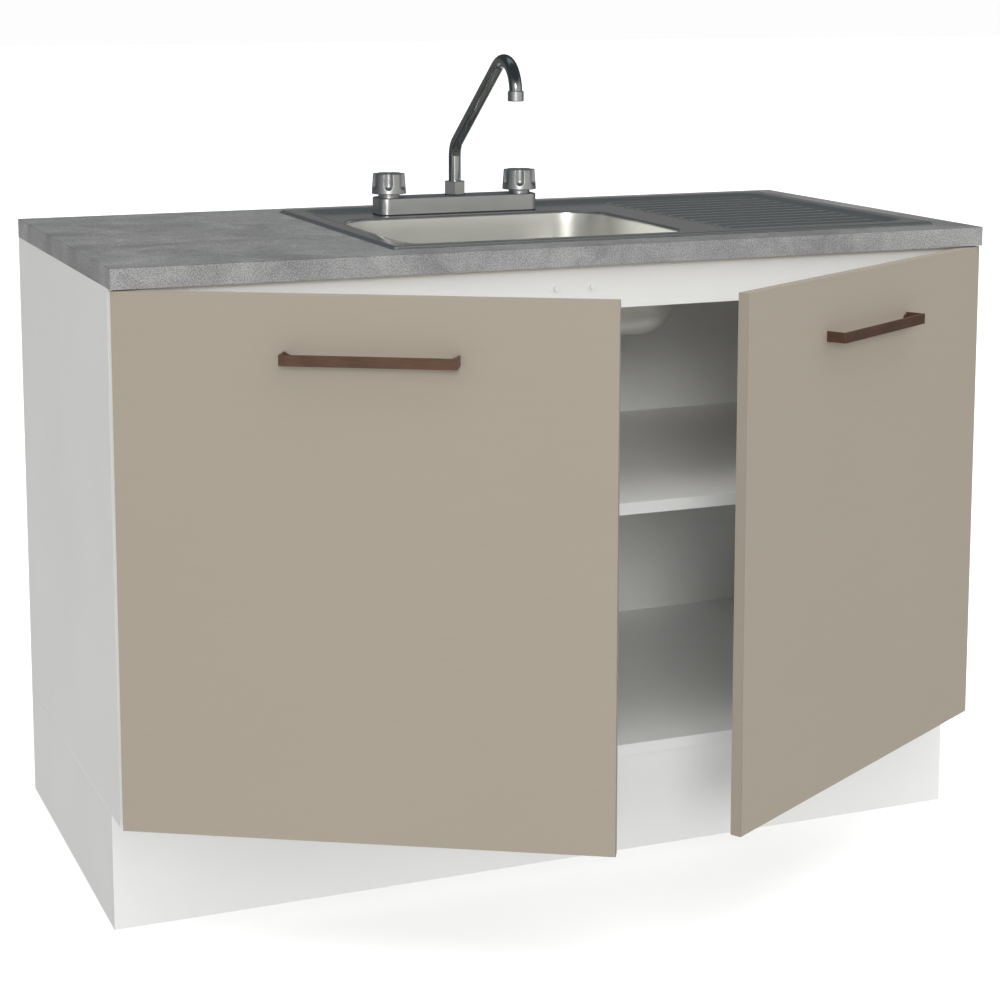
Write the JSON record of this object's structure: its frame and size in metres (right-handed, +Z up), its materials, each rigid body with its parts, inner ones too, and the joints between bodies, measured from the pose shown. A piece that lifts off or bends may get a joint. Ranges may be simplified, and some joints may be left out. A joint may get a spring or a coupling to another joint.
{
  "type": "kitchen sink unit",
  "caption": "Kitchen sink base cabinet with open hinged doors, a concrete-look worktop, an inset steel sink with drainer, and a deck-mounted mixer tap.",
  "frame": {"origin": "on the floor, in the middle of the unit's footprint, on the underside of the plinth's centre board", "axes": "+X to the right along the worktop, +Y to the wall, +Z up; the doors open towards -Y"},
  "size_m": [1.2, 0.8931, 1.0695],
  "materials": {
    "white_melamine": "white melamine face, satin",
    "white_hardboard": "white painted hardboard",
    "beech": "bare beech",
    "chipboard": "raw chipboard",
    "concrete_laminate": "laminate with a cloudy concrete look",
    "zinc_steel": "zinc plated",
    "stainless_deck": "satin stainless steel",
    "stainless_bowl": "satin stainless steel",
    "black_rubber": "matte",
    "clear_rubber": "cloudy",
    "white_plastic": "satin",
    "grey_plastic": "matte",
    "tap_chrome": "polished",
    "tap_brass": "machined",
    "beige_door": "beige melamine face, matte",
    "copper_handle": "dark copper brown, satin"
  },
  "bodies": {
    "cabinet": {"left_side_panel": "white_melamine", "right_side_panel": "white_melamine", "bottom_panel": "white_melamine", "front_rail": "white_melamine", "back_rail": "white_melamine", "back_panel": "white_hardboard", "shelf": "white_melamine", "shelf_pins": "zinc_steel", "cam_locks": "zinc_steel", "cam_bolts": "zinc_steel", "dowels": "beech", "plinth_front": "white_melamine", "plinth_back": "white_melamine", "plinth_left": "white_melamine", "plinth_right": "white_melamine", "plinth_centre": "white_melamine", "worktop_core": "chipboard", "worktop_laminate": "concrete_laminate", "worktop_edging": "concrete_laminate", "worktop_brackets": "zinc_steel", "chipboard_screws": "zinc_steel", "sink_deck": "stainless_deck", "sink_bowl": "stainless_bowl", "sink_seal": "black_rubber", "sink_clips": "zinc_steel", "waste_flange": "stainless_bowl", "waste_gasket": "black_rubber", "waste_body": "white_plastic", "waste_screw": "zinc_steel", "trap_inlet_pipe": "white_plastic", "trap_nuts": "white_plastic", "trap_body": "white_plastic", "trap_cup": "white_plastic", "trap_outlet_pipe": "white_plastic", "tap_body": "tap_chrome", "tap_gaskets": "black_rubber", "tap_tails": "tap_brass", "tail_nuts": "tap_brass", "valve_cartridges": "tap_chrome", "spout_nut": "tap_chrome", "hinge_arms": "zinc_steel", "hinge_plates": "zinc_steel", "hinge_pins": "zinc_steel", "door_bumpers": "clear_rubber"},
    "left_door": {"left_door_panel": "beige_door", "left_handle": "copper_handle", "left_door_screws": "zinc_steel", "left_hinge_cups": "zinc_steel"},
    "right_door": {"right_door_panel": "beige_door", "right_handle": "copper_handle", "right_door_screws": "zinc_steel", "right_hinge_cups": "zinc_steel"},
    "spout": {"spout_tube": "tap_chrome", "aerator": "tap_chrome", "aerator_insert": "grey_plastic"},
    "hot_tap_knob": {"hot_knob": "tap_chrome", "hot_cap": "tap_chrome"},
    "cold_tap_knob": {"cold_knob": "tap_chrome", "cold_cap": "tap_chrome"},
    "basket": {"strainer_basket": "stainless_bowl"}
  },
  "joints": [
    {"name": "left_door_hinge", "type": "hinge", "parent": "cabinet", "child": "left_door", "pos_m": [-0.589, -0.295, 0.48], "axis": [0, 0, -1], "range_deg": [-30, 65]},
    {"name": "right_door_hinge", "type": "hinge", "parent": "cabinet", "child": "right_door", "pos_m": [0.589, -0.295, 0.48], "axis": [0, 0, 1], "range_deg": [-30, 65]},
    {"name": "spout_swivel", "type": "hinge", "parent": "cabinet", "child": "spout", "pos_m": [0.0115, 0.175, 0.86], "axis": [0, 0, 1], "continuous": true},
    {"name": "hot_knob_turn", "type": "hinge", "parent": "cabinet", "child": "hot_tap_knob", "pos_m": [-0.0901, 0.175, 0.88], "axis": [0, 0, 1], "range_deg": [0, 180]},
    {"name": "cold_knob_turn", "type": "hinge", "parent": "cabinet", "child": "cold_tap_knob", "pos_m": [0.1131, 0.175, 0.88], "axis": [0, 0, -1], "range_deg": [0, 180]},
    {"name": "basket_lift", "type": "slide", "parent": "cabinet", "child": "basket", "axis": [0, 0, 1], "range_m": [0, 0.12]}
  ]
}
